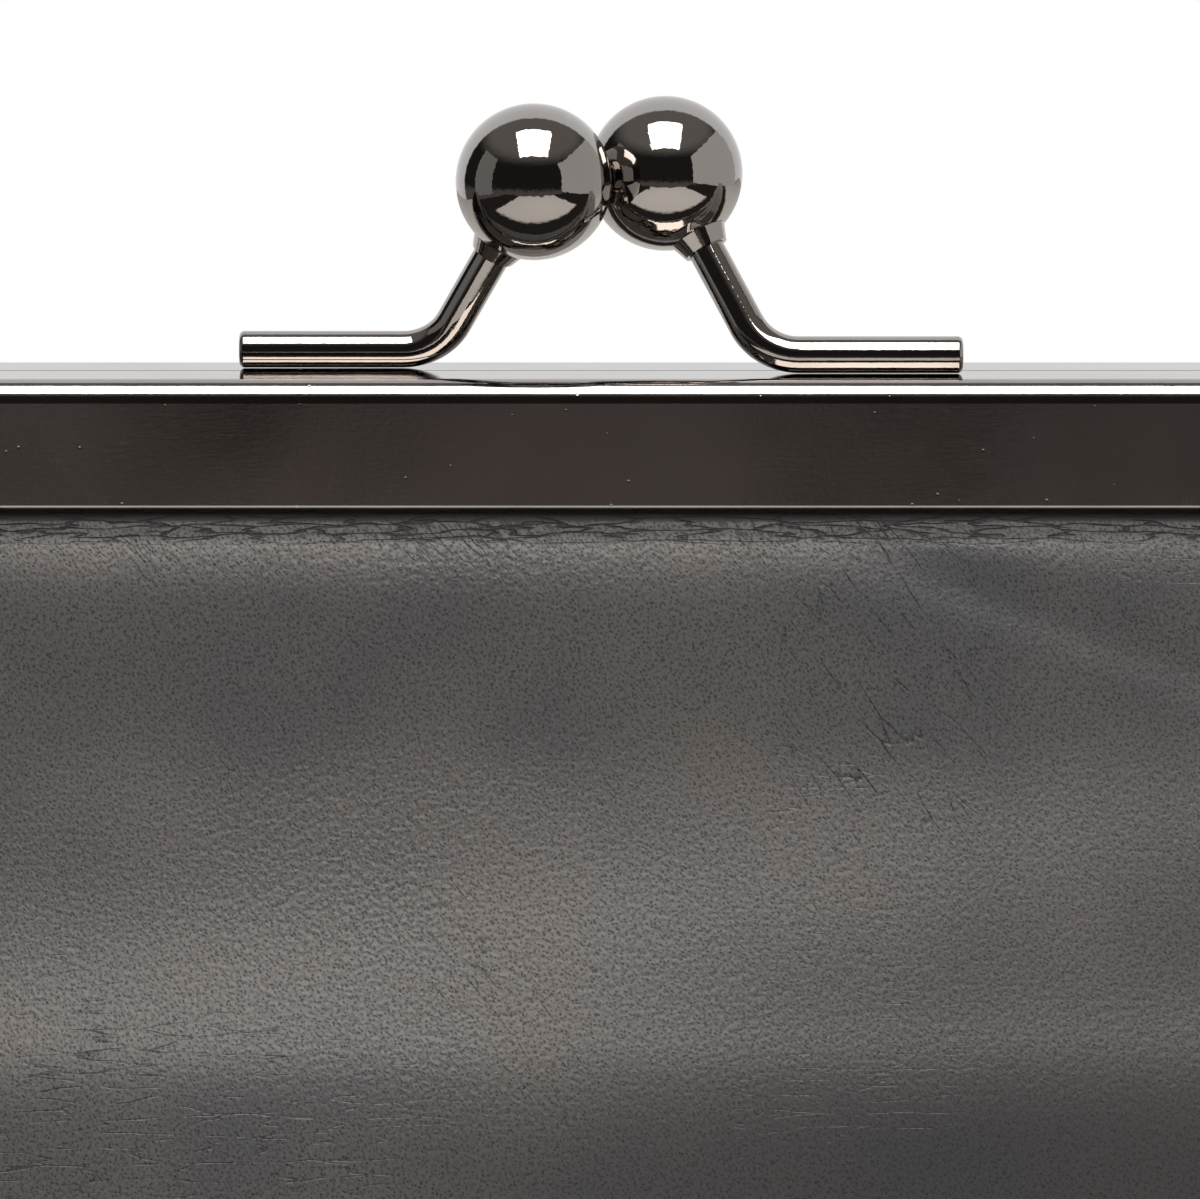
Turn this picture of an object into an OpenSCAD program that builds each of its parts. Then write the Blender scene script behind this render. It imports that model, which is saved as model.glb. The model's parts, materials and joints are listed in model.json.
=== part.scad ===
// Kiss lock frame purse, in millimetres.
// X runs along the frame, front is towards -Y, Z is up, and the base stands on Z = 0.
// Two sheet metal channels, bent to a U, are hinged on rivets at the ends of their arms.
// Each holds the edge of a leather panel, and each carries one clasp ball on a bent rod.

/* [Frame] */
// Width of the frame across its two arms
frame_w = 200; // [170:1:230]
// Drop from the top of the frame to the hinge axis
arm_drop = 62; // [52:1:75]
// Depth of one frame half, from the parting plane to its face
half_d = 6.5; // [6.4:0.1:8]
// Width of the channel's face
face_w = 10; // [8.5:0.5:12]
// Thickness of the frame's sheet
sheet_t = 0.8; // [0.6:0.05:0.9]
// Radius of the long edge between the face and the top
edge_r = 1.7; // [1.2:0.1:2]
// Rounding of the face's lower edge, where the sheet ends
lip_r = 0.4; // [0.2:0.05:0.5]
// Outer radius of the frame's two corners
corner_r = 14; // [12:1:16]
// Gap between the two closed halves
parting_gap = 0.2; // [0.1:0.05:0.3]

/* [Hinge] */
// Height of the hinge axis above the base
hinge_z = 58; // [50:1:70]
// Height above the hinge axis at which the arms end
arm_end = 5; // [4.6:0.1:6]
// Radius of the round ends of the hinge ears and plates
ear_r = 3.6; // [3:0.1:4]
// Height of a rear hinge plate above the end of its arm
plate_rise = 9; // [6:0.5:12]
// Diameter of the rivets' shanks
rivet_d = 2.6; // [2:0.1:3]
// Diameter of the rivets' domed outer heads
head_d = 5.8; // [5:0.1:7]
// Height of the domed heads
head_h = 1.2; // [0.8:0.1:1.6]
// Diameter of the rivets' flat inner tails
tail_d = 4.4; // [4:0.1:5.5]
// Thickness of the flat tails
tail_t = 0.8; // [0.5:0.1:1.2]
// Outer diameter of the washers
washer_d = 6.6; // [5.6:0.1:7]
// Thickness of the washers
washer_t = 0.25; // [0.2:0.05:0.4]
// Radial running clearance round the rivets
pin_clear = 0.05; // [0.02:0.01:0.1]
// Clearance between neighbours along the hinge axis
side_clear = 0.05; // [0.03:0.01:0.1]

/* [Kiss lock] */
// Diameter of the clasp rods
rod_d = 2.85; // [2.4:0.05:3.2]
// Distance from the middle of the frame to the outer end of a foot
foot_end = 28; // [24:0.5:34]
// Distance from the middle of the frame to the start of a stem's bend
bend_at = 15.3; // [13.5:0.1:18]
// Radius of a stem's bend, at the middle of the rod
bend_r = 4.5; // [3.5:0.1:6]
// Distance of a foot's axis from the parting plane
foot_set = 1.67; // [1.6:0.01:2.4]
// Radius of the edge at a foot's outer end
foot_edge_r = 0.4; // [0.2:0.05:0.8]
// Clearance under the feet
foot_clear = 0.03; // [0.02:0.01:0.05]
// Diameter of the clasp balls
ball_d = 12; // [10:0.1:13]
// Height of the balls' centres above the top of the frame
ball_rise = 15; // [13:0.1:18]
// Distance of a ball's centre past the parting plane
ball_lean = 3.25; // [2.5:0.05:4]
// Gap between the two balls where they cross
ball_gap = 0.05; // [0.02:0.01:0.1]
// Depth to which a rod enters its ball
socket_l = 3; // [2:0.1:4]
// Diameter of a collar where it meets the ball
collar_d = 4.5; // [4:0.1:5]
// Diameter of a collar at its lower end
collar_low_d = 3.5; // [3.3:0.1:3.8]
// Length of a collar
collar_l = 1.3; // [1:0.1:1.8]
// Radial clearance of the ball and the collar on the rod
seat_clear = 0.02; // [0.01:0.01:0.04]

/* [Leather and lining] */
// Thickness of the leather
leather_t = 1.2; // [1:0.1:1.4]
// Thickness of the lining
lining_t = 0.4; // [0.3:0.05:0.5]
// Gap between layers
layer_gap = 0.1; // [0.05:0.01:0.15]
// Gap between a gusset and its lining, where both are curved two ways
fold_gap = 0.5; // [0.5:0.05:0.7]
// Diameter of the paper cords
cord_d = 2.7; // [2:0.1:2.8]
// Depth of the closed pouch's front from the parting plane, at the hinge axis
belly_d = 22.6; // [19:0.1:26]
// Depth of the neck below the frame
neck_d = 9; // [8:0.1:11]
// Height over which the leather rolls out from under the frame
roll_h = 3; // [2:0.1:5]
// Half of the depth of the base
base_d = 19.5; // [16.5:0.1:22]
// Fullness of the pouch just above its base, beyond the base
base_swell = 4.1; // [2:0.1:5]
// Height over which the panels round up from the base
base_round = 20; // [12:1:26]
// Reach of the pouch past the arms at each side
side_swell = 3; // [0:0.5:6]
// Radius of the pouch's lower corners
pouch_corner_r = 14; // [10:1:20]
// Half width of the gusset at its top
gusset_top = 7; // [5.5:0.1:8]
// Depth of the gusset's inward fold at its top
gusset_fold = 5; // [2:0.5:7]
// Height of the lower panels' rim below the hinge axis
rim_drop = 8; // [7:0.5:10]
// Thickness of the base stiffener
board_t = 1.5; // [1:0.1:2]
// Inset of the base stiffener from the bottom leather's edges
board_inset = 3; // [2:0.5:6]

/* [Hidden] */

metal = "#3a3536";
leather = "#26262a";
lining = "#3b3a40";
card = "#8d8577";
$fn = 64;
ball_facets = 96;
lip_facets = 24;

// How far a cut runs past its solid, and one shape into the next
over = 1;

// Frame, worked out from its driving sizes
frame_top = hinge_z + arm_drop;
half_w = frame_w / 2;
corner_z = frame_top - corner_r;
corner_x = half_w - corner_r;
arm_foot = hinge_z + arm_end;
part_y = parting_gap / 2;

// Hinge stack, from the outside of the arm inwards
ear_in = half_w - sheet_t;
washer_out = ear_in - side_clear;
plate_out = washer_out - washer_t - side_clear;
plate_in = plate_out - sheet_t;
hole_r = rivet_d / 2 + pin_clear;

// What lies in the channel, from the face inwards
leather_u = half_d - sheet_t - layer_gap;
cord_u = leather_u - leather_t - lining_t - 2 * layer_gap - cord_d / 2;
channel_w = face_w - sheet_t;

// Clasp: the bend's plane holds the foot's axis and the ball's centre
rod_r = rod_d / 2;
ball_r = ball_d / 2;
ball_x = sqrt(pow(ball_r + ball_gap / 2, 2) - pow(ball_lean, 2));
foot_z = frame_top + rod_r + foot_clear;
reach_p = bend_at - ball_x;
rise_z = frame_top + ball_rise - foot_z;
rise_q = norm([ball_lean + foot_set, rise_z]);
plane_tilt = atan2(ball_lean + foot_set, rise_z);
bend_deg = atan2(rise_q - bend_r, reach_p) + asin(bend_r / norm([reach_p, rise_q - bend_r]));
// The straight neck is drawn a little thinner than the bend, and starts just inside it
neck_draw = 0.005;
neck_overlap = 0.15;
stem_l = norm([reach_p - bend_r * sin(bend_deg), rise_q - bend_r * (1 - cos(bend_deg))]);

// Pouch
neck_top = arm_drop - face_w;
arm_gap = 0.3;
arc_deg = 35;
arc_h = belly_d * sin(arc_deg);
arc_y = belly_d * cos(arc_deg);
neck_power = tan(arc_deg) * (neck_top - arc_h) / (arc_y - neck_d);
tuck_under = 2;
tuck_drop = rim_drop + tuck_under;
tuck_share = 0.62;
tuck_power = 4;
seam_in = half_w - face_w - arm_gap;
opening_r = corner_r - face_w;
flange_x = plate_in - arm_gap;
flange_r = flange_x - corner_x;
flange_low = 2;
flange_high = 12;
fall_power = 3;
fall_root = 0.6;
steep_most = 1.5;
rim_z = hinge_z - rim_drop;
rim_inset = 3;
rim_x = half_w - rim_inset;
rim_gap = 0.65;
rim_cover = 1.5;
rim_fade = 5;
rim_fade_past = 1;
rim_power = 6;
pouch_x = half_w + side_swell;
edge_all = steep_most * (leather_t + lining_t + layer_gap);
gusset_edge = edge_all + layer_gap;
base_x = pouch_x - pouch_corner_r;
columns = 24;
flange_columns = 2;
neck_rows = 13;
flange_rows = 3;
pouch_rows = 10;
nudge = 0.05;

function ease(t) = let(c = min(1, max(0, t))) c * c * (3 - 2 * c);
function mix(a, b, t) = a + (b - a) * t;
function fullness(share) =
    abs(share) < 1 ? pow(1 - pow(abs(share), fall_power), fall_root) : 0;

// Depth of the closed pouch in the middle, at a height above the hinge axis
function neck_middle(h) =
    h <= arc_h
        ? sqrt(belly_d * belly_d - h * h)
        : neck_d + (arc_y - neck_d) * pow(max(0, 1 - (h - arc_h) / (neck_top - arc_h)), neck_power);
function opening_h(x) =
    let(past = min(opening_r, max(0, abs(x) - corner_x)))
    neck_top - opening_r + sqrt(pow(opening_r, 2) - past * past);
function roll_out(x, h) = 1 - exp(-max(0, opening_h(x) - h) / roll_h);
function upper_y(x, h) =
    leather_u + (neck_middle(h) - leather_u) * roll_out(x, h) * fullness(x / seam_in);

// Outline and depth of the pouch below the rim
function outline_x(z) =
    mix(rim_x, pouch_x, ease((rim_z - z) / (rim_z / 2)))
    - (z < pouch_corner_r
        ? pouch_corner_r - sqrt(pow(pouch_corner_r, 2) - pow(pouch_corner_r - z, 2))
        : 0);
function gusset_half(z) = mix(base_d, gusset_top, z / rim_z);
function pouch_middle(z) =
    base_d + base_swell * (z < base_round ? sqrt(1 - pow(1 - z / base_round, 2)) : 1)
    + (belly_d + rim_gap - base_d - base_swell) * ease((z - rim_z / 2) / (rim_z / 2));
function lower_y(x, z) =
    let(seam = gusset_half(z))
    seam + (pouch_middle(z) - seam) * fullness(x / outline_x(z));

// How much thicker a sloping layer is along Y than across itself
function steep_upper(x, h) =
    let(dx = (upper_y(x + nudge, h) - upper_y(x - nudge, h)) / (2 * nudge),
        dh = (upper_y(x, h + nudge) - upper_y(x, h - nudge)) / (2 * nudge))
    min(steep_most, norm([1, dx, dh]));
function steep_lower(x, z) =
    let(dx = (lower_y(x + nudge, z) - lower_y(x - nudge, z)) / (2 * nudge),
        dz = (lower_y(x, z + nudge) - lower_y(x, max(0, z - nudge))) / (2 * nudge))
    min(steep_most, norm([1, dx, dz]));

// Heights: the upper panels' lower edge, and the lower panels' rim
function tuck_h(x) = -min(tuck_drop, tuck_share * (upper_y(x, 0) - edge_all));
function rim_h(x) =
    mix(max(-rim_drop, tuck_h(x) + rim_cover), -rim_drop,
        ease((abs(x) - seam_in - rim_fade_past) / rim_fade + 1));
function side_x(h) =
    let(up = min(flange_r, max(0, h - (arm_drop - corner_r))))
    mix(seam_in + arm_gap, flange_x, ease((h - flange_low) / (flange_high - flange_low)))
    - (flange_r - sqrt(pow(flange_r, 2) - up * up));

// Heights of the upper panels' rows, the last few inside the channel, and where columns stand
upper_rows = [
    for (i = [0:neck_rows]) mix(-tuck_drop, neck_top, sin(90 * i / neck_rows)),
    for (i = [1:flange_rows]) mix(neck_top, arm_drop - corner_r + flange_r, sin(90 * i / flange_rows))
];
function column_x(j, side) =
    let(seam = min(seam_in, side - arm_gap), past = abs(j) - columns / 2)
    sign(j) * (past > 0
        ? mix(seam, side, past / flange_columns)
        : seam * sin(180 * abs(j) / columns));

// Rows of points of a layer that starts at one depth inside the outer face
function upper_layer(depth) = [
    for (row = upper_rows) [
        for (j = [-columns / 2 - flange_columns:columns / 2 + flange_columns])
            let(x = column_x(j, side_x(row)),
                low = max(0, (neck_top - row) / (neck_top + tuck_drop)),
                h = row + (tuck_h(x) + tuck_drop) * pow(low, tuck_power))
            [x, -(upper_y(x, h) - depth * steep_upper(x, h)), hinge_z + h]
    ]
];
function lower_layer(depth) = [
    for (i = [0:pouch_rows]) [
        for (j = [0:columns])
            let(share = 2 * j / columns - 1,
                t = i / pouch_rows,
                z0 = rim_z * (1 - cos(90 * t)),
                x = sin(90 * share) * outline_x(z0),
                z = z0 + (rim_h(x) + rim_drop) * pow(t, rim_power))
            [x, -(lower_y(x, z0) - depth * steep_lower(x, z0)), z]
    ]
];

// Path of the gusset in the XZ plane, from its top down to the base, with the way inwards
side_steps = 6;
corner_steps = 6;
function gusset_path(top) = [
    for (k = [0:side_steps])
        let(z = mix(top, pouch_corner_r, k / side_steps))
        [outline_x(z), z, 1, 0],
    for (k = [1:corner_steps])
        let(a = 90 * k / corner_steps)
        [base_x + pouch_corner_r * cos(a), pouch_corner_r * (1 - sin(a)), cos(a), -sin(a)]
];
across = 6;
function gusset_layer(depth, base_depth) = [
    for (p = gusset_path(rim_z)) [
        for (j = [0:across])
            let(share = 1 - 2 * j / across,
                low = 1 - ease(p[1] / pouch_corner_r),
                inwards = mix(depth, base_depth, low)
                    + gusset_fold * p[1] / rim_z * (1 - share * share))
            [p[0] - inwards * p[2],
                share * (gusset_half(p[1]) - gusset_edge),
                p[1] - inwards * p[3]]
    ]
];

function mirrored(row) = [for (p = row) [-p[0], p[1], p[2]]];
function lining_strip(side, base) =
    let(right = gusset_layer(side, base), n = len(right) - 1)
    [for (row = right) row, for (i = [0:n]) mirrored(right[n - i])];

// Closed shell between two layers of points, the first being the outer one
module shell(outside, inside) {
    rows = len(outside) - 1;
    cols = len(outside[0]) - 1;
    count = (rows + 1) * (cols + 1);
    function at(i, j) = i * (cols + 1) + j;
    function quad(a, b, c, d) = [[a, b, c], [a, c, d]];
    function wall(a, b) = quad(a, b, b + count, a + count);
    points = [for (layer = [outside, inside]) for (row = layer) for (p = row) p];
    faces = [
        for (i = [0:rows - 1]) for (j = [0:cols - 1])
            for (f = quad(at(i, j), at(i + 1, j), at(i + 1, j + 1), at(i, j + 1))) f,
        for (i = [0:rows - 1]) for (j = [0:cols - 1])
            for (f = quad(at(i, j), at(i, j + 1), at(i + 1, j + 1), at(i + 1, j)))
                [for (v = f) v + count],
        for (j = [0:cols - 1]) for (f = wall(at(0, j), at(0, j + 1))) f,
        for (j = [0:cols - 1]) for (f = wall(at(rows, j + 1), at(rows, j))) f,
        for (i = [0:rows - 1]) for (f = wall(at(i + 1, 0), at(i, 0))) f,
        for (i = [0:rows - 1]) for (f = wall(at(i, cols), at(i + 1, cols))) f
    ];
    polyhedron(points, faces);
}

// Section of a frame half: -X is the way in from the outer rim, and Y is 0 in the parting plane
module rounded_block(low_y, high_y, depth, r) {
    translate([-depth, low_y]) square([depth, high_y - low_y - r]);
    translate([-depth, low_y]) square([depth - r, high_y - low_y]);
    translate([-r, high_y - r]) circle(r);
}

module channel_section() {
    difference() {
        rounded_block(part_y, half_d, face_w, edge_r);
        translate([-sheet_t, 0])
            rounded_block(part_y + sheet_t, half_d - sheet_t, face_w, edge_r - sheet_t);
        translate([-face_w, half_d]) lip_corner();
    }
}

// What is taken off the face's lower edge
module lip_corner() {
    difference() {
        translate([-over, -lip_r]) square(lip_r + over);
        translate([lip_r, -lip_r]) circle(lip_r, $fn = lip_facets);
    }
}

// One side of a U: half of the top bar, the corner and the arm, for the front half
module half_channel() {
    translate([0, 0, frame_top]) rotate([0, -90, 0]) rotate([180, 0, 0])
        linear_extrude(corner_x) channel_section();
    translate([corner_x, 0, corner_z]) rotate([90, 0, 0])
        rotate_extrude(angle = 90) translate([corner_r, 0]) channel_section();
    translate([half_w, 0, corner_z]) rotate([180, 0, 0])
        linear_extrude(corner_z - arm_foot) channel_section();
}

// Outline of an ear in the YZ plane, from the end of an arm to the round end on the axis
module ear_outline(near_y, far_y, top) {
    reach = norm([far_y, arm_end]);
    touch = atan2(arm_end, -far_y) + acos(ear_r / reach);
    polygon([
        [-far_y, top], [-near_y, top], [-near_y, 0], [0, 0],
        [ear_r * cos(touch), ear_r * sin(touch)], [-far_y, arm_end]
    ]);
    circle(ear_r);
}

module front_ear() {
    translate([ear_in, 0, hinge_z]) rotate([90, 0, 90])
        difference() {
            linear_extrude(sheet_t) ear_outline(part_y, half_d - edge_r, arm_end + over);
            translate([0, 0, -over]) cylinder(r = hole_r, h = sheet_t + 2 * over);
        }
}

module both_sides() {
    children();
    mirror([1, 0, 0]) children();
}

module front_frame() {
    color(metal) both_sides() {
        half_channel();
        front_ear();
    }
}

module rear_frame() {
    color(metal) both_sides() mirror([0, 1, 0]) half_channel();
}

// A plate inside each rear arm: a pad against the arm's web, and a tongue that reaches the rivet
module rear_hinge_plates() {
    low_u = part_y + sheet_t + layer_gap;
    high_u = half_d - edge_r;
    pad_gap = 0.2;
    color(metal) both_sides() mirror([0, 1, 0]) translate([plate_in, 0, hinge_z]) rotate([90, 0, 90]) {
        difference() {
            linear_extrude(sheet_t) ear_outline(low_u, high_u, arm_end + plate_rise);
            translate([0, 0, -over]) cylinder(r = hole_r, h = sheet_t + 2 * over);
        }
        translate([-high_u, arm_end + pad_gap, sheet_t])
            cube([high_u - low_u, plate_rise - pad_gap, ear_in - plate_in - sheet_t]);
    }
}

// Rivet along X: a shank, a domed outer head and a flat inner tail
module hinge_rivets() {
    shank_in = plate_in - side_clear;
    shank_out = half_w + side_clear;
    dome_r = (pow(head_d / 2, 2) + pow(head_h, 2)) / (2 * head_h);
    color(metal) both_sides() translate([0, 0, hinge_z]) rotate([0, 90, 0]) {
        translate([0, 0, shank_in - tail_t]) cylinder(d = tail_d, h = tail_t);
        translate([0, 0, shank_in]) cylinder(d = rivet_d, h = shank_out - shank_in);
        translate([0, 0, shank_out]) intersection() {
            translate([0, 0, head_h - dome_r]) sphere(dome_r);
            cylinder(d = head_d, h = head_h + over);
        }
    }
}

module hinge_washers() {
    color("#6e6a68") both_sides() translate([washer_out - washer_t, 0, hinge_z]) rotate([0, 90, 0])
        difference() {
            cylinder(d = washer_d, h = washer_t);
            translate([0, 0, -over]) cylinder(r = hole_r, h = washer_t + 2 * over);
        }
}

// Paper cord wedged in the channel, down each arm to the top of the hinge plates
module front_paper_cord() {
    in_v = sheet_t + channel_w / 2;
    cord_gap = 1;
    arm_low = arm_foot + plate_rise + cord_gap;
    color(card) both_sides() translate([0, -cord_u, 0]) {
        translate([0, 0, frame_top - in_v]) rotate([0, 90, 0]) cylinder(d = cord_d, h = corner_x);
        translate([corner_x, 0, corner_z]) rotate([90, 0, 0])
            rotate_extrude(angle = 90) translate([corner_r - in_v, 0]) circle(d = cord_d);
        translate([half_w - in_v, 0, arm_low]) cylinder(d = cord_d, h = corner_z - arm_low);
    }
}

module rear_paper_cord() {
    mirror([0, 1, 0]) front_paper_cord();
}

// The rear half's clasp is the front half's, turned half round about Z
module turned() {
    rotate([0, 0, 180]) children();
}

// Puts a clasp's own plane in place: X is towards the other clasp, Y is up towards the ball
module clasp_plane() {
    translate([bend_at, -foot_set, foot_z]) rotate([-plane_tilt, 0, 0])
        rotate([90, 0, 0]) mirror([1, 0, 0]) children();
}

// Runs along the stem's straight part: Z is towards the ball and 0 is at its centre
module along_stem() {
    clasp_plane() translate([reach_p, rise_q, 0])
        rotate([0, 0, bend_deg]) rotate([0, 90, 0]) children();
}

module front_clasp_stem() {
    foot_l = foot_end - bend_at;
    color(metal) {
        clasp_plane() {
            rotate([0, -90, 0]) cylinder(r = rod_r, h = foot_l - foot_edge_r);
            translate([-foot_l + foot_edge_r, 0, 0]) rotate([0, -90, 0]) rotate_extrude() {
                square([rod_r - foot_edge_r, foot_edge_r]);
                intersection() {
                    translate([rod_r - foot_edge_r, 0]) circle(foot_edge_r);
                    square([rod_r, foot_edge_r]);
                }
            }
            translate([0, bend_r, 0]) rotate([0, 0, -90])
                rotate_extrude(angle = bend_deg) translate([bend_r, 0]) circle(rod_r);
        }
        along_stem() translate([0, 0, -stem_l - neck_overlap])
            cylinder(r = rod_r - neck_draw, h = stem_l - ball_r + socket_l + neck_overlap);
    }
}

module front_clasp_ball() {
    color(metal) along_stem() difference() {
        sphere(ball_r, $fn = ball_facets);
        translate([0, 0, -ball_r - over])
            cylinder(r = rod_r + seat_clear, h = over + socket_l + seat_clear);
    }
}

// Flared ring, hollowed at the top to sit against the ball
module front_clasp_collar() {
    seat_z = -sqrt(pow(ball_r, 2) - pow(collar_d / 2, 2));
    color(metal) along_stem() difference() {
        translate([0, 0, seat_z - collar_l])
            cylinder(d1 = collar_low_d, d2 = collar_d, h = collar_l);
        sphere(ball_r + seat_clear, $fn = ball_facets);
        translate([0, 0, -2 * ball_r]) cylinder(r = rod_r + seat_clear, h = 2 * ball_r);
    }
}

module rear_clasp_stem() {
    turned() front_clasp_stem();
}

module rear_clasp_ball() {
    turned() front_clasp_ball();
}

module rear_clasp_collar() {
    turned() front_clasp_collar();
}

module front_leather_upper() {
    color(leather) shell(upper_layer(0), upper_layer(leather_t));
}

module rear_leather_upper() {
    mirror([0, 1, 0]) front_leather_upper();
}

module front_lining_upper() {
    start = leather_t + layer_gap;
    color(lining) shell(upper_layer(start), upper_layer(start + lining_t));
}

module rear_lining_upper() {
    mirror([0, 1, 0]) front_lining_upper();
}

module front_leather_lower() {
    color(leather) shell(lower_layer(0), lower_layer(leather_t));
}

module rear_leather_lower() {
    mirror([0, 1, 0]) front_leather_lower();
}

module front_lining_lower() {
    start = leather_t + layer_gap;
    color(lining) shell(lower_layer(start), lower_layer(start + lining_t));
}

module rear_lining_lower() {
    mirror([0, 1, 0]) front_lining_lower();
}

module right_gusset() {
    color(leather) shell(gusset_layer(0, 0), gusset_layer(leather_t, leather_t));
}

module left_gusset() {
    mirror([1, 0, 0]) right_gusset();
}

// Flat leather between the two gussets' ends, on which the purse stands
module bottom_panel() {
    half_y = base_d - gusset_edge;
    color(leather) translate([-base_x + layer_gap, -half_y, 0])
        cube([2 * (base_x - layer_gap), 2 * half_y, leather_t]);
}

module base_stiffener() {
    half_x = base_x - board_inset;
    half_y = base_d - gusset_edge - board_inset;
    color(card) translate([-half_x, -half_y, leather_t + layer_gap])
        cube([2 * half_x, 2 * half_y, board_t]);
}

// One strip that lines the right gusset, runs over the stiffener and lines the left gusset
module gusset_lining() {
    side = leather_t + fold_gap;
    base = leather_t + board_t + 2 * layer_gap;
    color(lining) shell(lining_strip(side, base), lining_strip(side + lining_t, base + lining_t));
}

front_frame();
rear_frame();
rear_hinge_plates();
hinge_rivets();
hinge_washers();
front_paper_cord();
rear_paper_cord();
front_clasp_stem();
rear_clasp_stem();
front_clasp_collar();
rear_clasp_collar();
front_clasp_ball();
rear_clasp_ball();
front_leather_upper();
rear_leather_upper();
front_leather_lower();
rear_leather_lower();
front_lining_upper();
rear_lining_upper();
front_lining_lower();
rear_lining_lower();
left_gusset();
right_gusset();
bottom_panel();
gusset_lining();
base_stiffener();
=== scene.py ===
# %% [markdown]
# # A kiss lock frame purse
# The purse is a soft leather pouch hung in a hinged metal frame, and two balls on bent rods snap past
# each other to lock it. The metal comes as exact parts, so this lesson dresses them in black nickel and
# spends its modelling on what is soft: the leather panels, the gussets, the base and the lining.
# The scene is in metres, X along the frame, front towards -Y, and Z up from the table.

# %% Load the frame
import json
import math

import bpy
import numpy as np
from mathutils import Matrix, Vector, noise


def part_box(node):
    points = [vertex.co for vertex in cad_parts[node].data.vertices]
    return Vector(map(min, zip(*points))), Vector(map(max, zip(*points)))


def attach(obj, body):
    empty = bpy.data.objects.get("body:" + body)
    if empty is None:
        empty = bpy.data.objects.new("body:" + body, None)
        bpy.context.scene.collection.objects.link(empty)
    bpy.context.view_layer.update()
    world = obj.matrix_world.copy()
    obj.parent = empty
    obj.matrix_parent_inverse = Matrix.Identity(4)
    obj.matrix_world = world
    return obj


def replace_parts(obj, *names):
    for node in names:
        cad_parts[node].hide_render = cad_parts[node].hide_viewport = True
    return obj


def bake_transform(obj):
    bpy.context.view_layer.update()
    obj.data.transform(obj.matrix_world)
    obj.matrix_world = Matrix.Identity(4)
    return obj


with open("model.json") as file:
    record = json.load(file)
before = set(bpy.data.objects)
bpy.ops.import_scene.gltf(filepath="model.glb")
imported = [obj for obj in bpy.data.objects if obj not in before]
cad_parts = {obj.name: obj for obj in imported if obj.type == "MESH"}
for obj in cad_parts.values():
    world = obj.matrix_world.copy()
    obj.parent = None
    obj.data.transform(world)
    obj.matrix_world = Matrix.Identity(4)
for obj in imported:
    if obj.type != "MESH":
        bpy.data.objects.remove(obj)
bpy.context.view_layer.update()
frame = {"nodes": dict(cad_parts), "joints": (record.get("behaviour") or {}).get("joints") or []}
bpy.ops.object.select_all(action="DESELECT")

# %% [markdown]
# ## Sizes
# The frame gives its own width, height and hinge, and the other sizes are those of the leather work.
# They could be typed in metres, but a bag maker cuts in millimetres, so they are in millimetres here and
# a mesh is scaled once, when its points are put in place.

# %% Read the frame's sizes and name the leather's
MM = 0.001
frame_low, frame_high = (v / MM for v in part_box("front_frame"))
HALF_W = frame_high.x
FRAME_TOP = frame_high.z
HALF_D = -frame_low.y
HINGE_Z = next(j for j in frame["joints"] if j["name"] == "front_opening")["pos_m"][2] / MM

# The channel of the frame
FACE_W = 10.0
SHEET_T = 0.8
CORNER_R = 14.0
OPENING_TOP = FRAME_TOP - FACE_W
CORNER_X = HALF_W - CORNER_R
CORNER_Z = FRAME_TOP - CORNER_R
ARM_FOOT = HINGE_Z + 5.0

# The layers, and where they lie in the channel
LEATHER_T = 1.2
LINING_T = 0.4
LAYER_GAP = 0.1
CHANNEL_Y = HALF_D - SHEET_T - LAYER_GAP
SEAM_IN = HALF_W - FACE_W - 0.3

# Depths of a panel's face from the parting plane, in the middle, and heights over which it turns
NECK_D = 9.0
BELLY_D = 22.6
POUCH_D = 23.4
BASE_D = 19.5
ROLL_H = 3.0
BASE_ROUND = 20.0

# The pouch's sides: half widths, the lower corner, and where the gusset ends
SIDE_SWELL = 3.0
POUCH_X = HALF_W + SIDE_SWELL
POUCH_R = 14.0
BASE_X = POUCH_X - POUCH_R
GUSSET_HALF = 7.0
RIM_Z = HINGE_Z - 8.0
print(f"frame {2 * HALF_W:.0f} x {FRAME_TOP - HINGE_Z:.0f} mm, opening top {OPENING_TOP:.0f} mm up")

# %% [markdown]
# ## Camera
# A close view with a long lens: the photograph is 92 mm wide at the frame's face, seen from half a
# metre, a little from above. It could be placed by eye, but the lens follows from those two, because
# width over distance is sensor over lens. It is made first, so that every piece can be judged in it.

# %% Make the camera
PHOTO_W = 1200
PIXELS_PER_MM = 13.0
CAMERA_AWAY = 500.0
CAMERA_RISE = math.radians(9.5)
AIM_BELOW_TOP = 16.9
SENSOR = 36.0

view_w = PHOTO_W / PIXELS_PER_MM
aim = Vector((0, -HALF_D, FRAME_TOP - AIM_BELOW_TOP))
towards = Vector((0, -math.cos(CAMERA_RISE), math.sin(CAMERA_RISE)))
bpy.ops.object.camera_add(location=(aim + towards * CAMERA_AWAY) * MM)
camera = bpy.context.object
camera.name = "camera"
camera.rotation_euler = (-towards).to_track_quat("-Z", "Y").to_euler()
camera.data.sensor_width = SENSOR
camera.data.lens = SENSOR * CAMERA_AWAY / view_w
camera.data.clip_start = 0.01
bpy.context.scene.camera = camera
bpy.ops.object.select_all(action="DESELECT")
print(f"lens {camera.data.lens:.0f} mm, {view_w:.1f} mm across")

# %% [markdown]
# ## Materials as sums
# A finish is a small sum: grain times depth, plus creases, clipped. It could be wired node by node, but
# Python arithmetic is easier to read, so one class wraps a socket and turns + - * / into Math nodes.
# Every other node comes from one method, which sets the node's settings first, then fills its sockets.

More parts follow.
